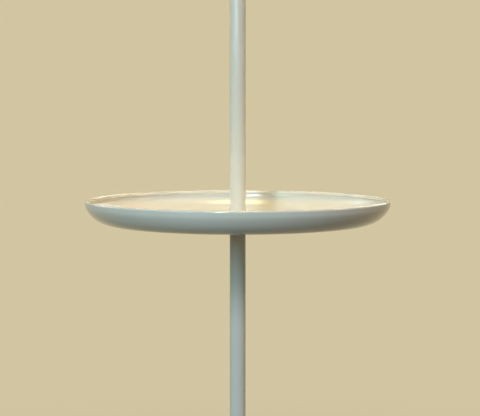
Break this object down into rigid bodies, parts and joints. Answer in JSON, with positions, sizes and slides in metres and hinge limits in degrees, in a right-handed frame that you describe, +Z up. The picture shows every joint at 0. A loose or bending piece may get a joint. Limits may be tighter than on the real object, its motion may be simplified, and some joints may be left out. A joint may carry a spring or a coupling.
{
  "type": "floor lamp with tray table",
  "caption": "Slim upright floor lamp: a weighted round base, a pole that carries a round dish tray part-way up, and a tapered drum shade over a lampholder with a turn key.",
  "frame": {"origin": "on the floor under the centre of the round base", "axes": "+Z up along the pole, +Y to the rear where the lead enters the base, +X to the side of the lampholder's key"},
  "size_m": [0.4, 0.4, 1.5],
  "materials": {
    "white_enamel": "gloss stoved enamel",
    "cast_iron": "as cast, lacquered",
    "felt": "pressed wool felt",
    "black_rubber": "moulded",
    "zinc_plate": "zinc plated",
    "nylon": "punched sheet",
    "white_phenolic": "moulded",
    "steatite": "unglazed",
    "brass": "pressed",
    "nickel_plate": "nickel plated",
    "black_glass": "fused",
    "lamp_plastic": "moulded",
    "opal_plastic": "frosted",
    "circuit_board": "white solder mask",
    "phosphor": "cast silicone",
    "wire_enamel": "satin powder coat",
    "shade_linen": "linen laminated on film"
  },
  "bodies": {
    "stand": {"base_cover": "white_enamel", "pole_collar": "white_enamel", "lower_pole": "white_enamel", "middle_pole": "white_enamel", "upper_pole": "white_enamel", "tray": "white_enamel", "tray_backing_plate": "white_enamel", "base_weight": "cast_iron", "foot_pads": "felt", "cord_grommet": "black_rubber", "base_stud": "zinc_plate", "base_washer": "zinc_plate", "base_lock_washer": "zinc_plate", "base_nut": "zinc_plate", "lower_pole_inserts": "zinc_plate", "tray_stud": "zinc_plate", "middle_pole_inserts": "zinc_plate", "joint_stud": "zinc_plate", "upper_pole_inserts": "zinc_plate", "head_stud": "zinc_plate", "holder_lock_screw": "zinc_plate", "tray_seat_washer": "nylon", "holder_cap": "white_phenolic", "holder_shell": "white_phenolic", "shade_ring": "white_phenolic", "holder_core": "steatite", "terminal_screws": "brass", "centre_contact": "brass", "screw_shell": "brass", "switch_blades": "brass", "lamp_cap": "nickel_plate", "lamp_tip": "nickel_plate", "lamp_insulator": "black_glass", "lamp_body": "lamp_plastic", "lamp_diffuser": "opal_plastic", "led_board": "circuit_board", "led_chips": "phosphor", "shade_fitter": "wire_enamel", "shade_arms": "wire_enamel", "shade_top_wire": "wire_enamel", "shade_bottom_wire": "wire_enamel", "shade_cover": "shade_linen"},
    "key": {"switch_key": "white_phenolic", "switch_spindle": "zinc_plate", "switch_cam": "nylon"}
  },
  "joints": [
    {"name": "key_turn", "type": "hinge", "parent": "stand", "child": "key", "pos_m": [0.0206, 0, 1.332], "axis": [1, 0, 0], "continuous": true}
  ]
}
